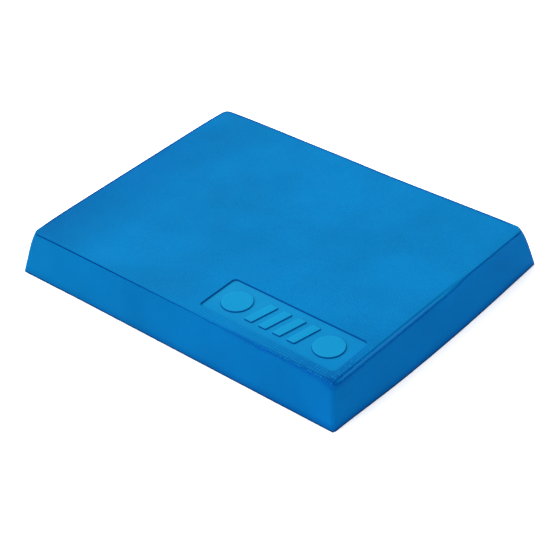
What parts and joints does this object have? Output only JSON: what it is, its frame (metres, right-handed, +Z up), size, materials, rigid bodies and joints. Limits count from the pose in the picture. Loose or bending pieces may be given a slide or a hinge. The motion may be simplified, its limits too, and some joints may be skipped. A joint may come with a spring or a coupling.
{
  "type": "balance pad",
  "caption": "Rectangular closed-cell foam pad with sloped sides and a fine-textured standing face, stood on for balance training.",
  "frame": {"origin": "middle of the underside, on the floor", "axes": "+X along the pad's length, -Y the front with the sunk panel, +Z up"},
  "size_m": [0.5, 0.382, 0.057],
  "materials": {
    "base_foam_skin": "matte",
    "core_foam": "matte",
    "side_foam_skin": "satin",
    "top_foam_skin": "matte"
  },
  "bodies": {
    "base": {"base_skin": "base_foam_skin", "core_sheet_1": "core_foam", "core_sheet_2": "core_foam", "core_sheet_3": "core_foam", "side_skin": "side_foam_skin"},
    "standing_top": {"core_sheet_4": "core_foam", "top_skin": "top_foam_skin"}
  },
  "joints": [
    {"name": "foam_compression", "type": "slide", "parent": "base", "child": "standing_top", "axis": [0, 0, -1], "range_m": [0, 0.02], "stiffness_N_per_m": 20000, "deforming": ["core_sheet_2", "core_sheet_3", "side_skin"]}
  ]
}
